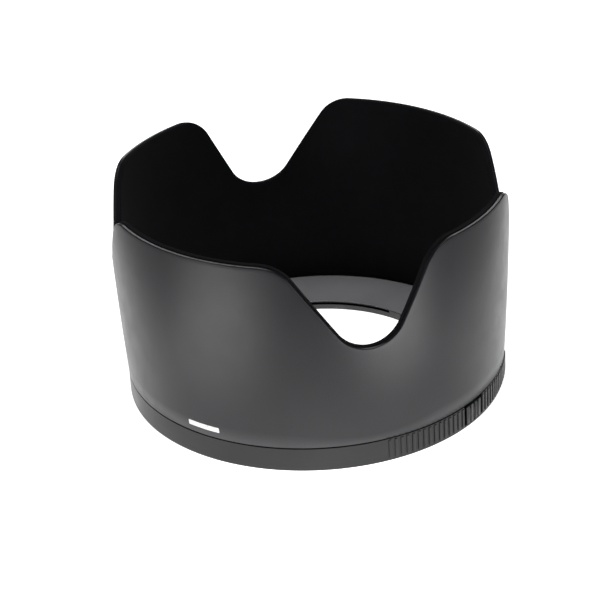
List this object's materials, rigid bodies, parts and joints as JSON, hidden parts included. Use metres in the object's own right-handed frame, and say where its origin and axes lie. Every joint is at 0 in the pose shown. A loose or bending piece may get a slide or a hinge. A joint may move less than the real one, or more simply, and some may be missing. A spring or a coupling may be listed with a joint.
{
  "type": "lens hood",
  "caption": "Petal-shaped bayonet lens hood in matte black plastic with flocked lining, ribbed base ring and push-button lock.",
  "frame": {"origin": "centre of the flat rear face, on the lens axis", "axes": "+Z along the lens axis towards the petals, wide petals at -Y and +Y, lock button at +X"},
  "size_m": [0.1156, 0.1156, 0.0644],
  "materials": {
    "shell_plastic": "fine matte moulded texture",
    "ring_plastic": "matte moulded",
    "black_flock": "short black flocking",
    "plate_plastic": "satin moulded",
    "lock_plastic": "satin moulded",
    "steel": "bright wire",
    "black_steel": "blackened screw",
    "white_paint": "pad-printed paint"
  },
  "bodies": {
    "hood": {"hood_shell": "shell_plastic", "flock_lining": "black_flock", "grip_ring": "ring_plastic", "bayonet_plate": "plate_plastic", "lock_cover": "plate_plastic", "lever_pin": "steel", "lock_spring": "steel", "plate_screw_1": "black_steel", "plate_screw_2": "black_steel", "plate_screw_3": "black_steel", "plate_screw_4": "black_steel", "plate_screw_5": "black_steel", "plate_screw_6": "black_steel", "cover_screw_1": "black_steel", "cover_screw_2": "black_steel", "front_mark": "white_paint", "index_line": "white_paint", "index_dot": "white_paint"},
    "button": {"lock_button": "lock_plastic"},
    "lever": {"lock_lever": "lock_plastic"}
  },
  "joints": [
    {"name": "lock_button_press", "type": "slide", "parent": "hood", "child": "button", "axis": [-1, 0, 0], "range_m": [0, 0.001], "stiffness_N_per_m": 400, "springref_m": -0.003, "deforming": ["lock_spring"]},
    {"name": "lock_lever_turn", "type": "hinge", "parent": "hood", "child": "lever", "pos_m": [0.0428, 0, 0.0042], "axis": [0, 0, 1], "range_deg": [0, 12.8]}
  ],
  "couplings": [
    {"joint": "lock_lever_turn", "follows": "lock_button_press", "rad_per_m": 222.22}
  ]
}
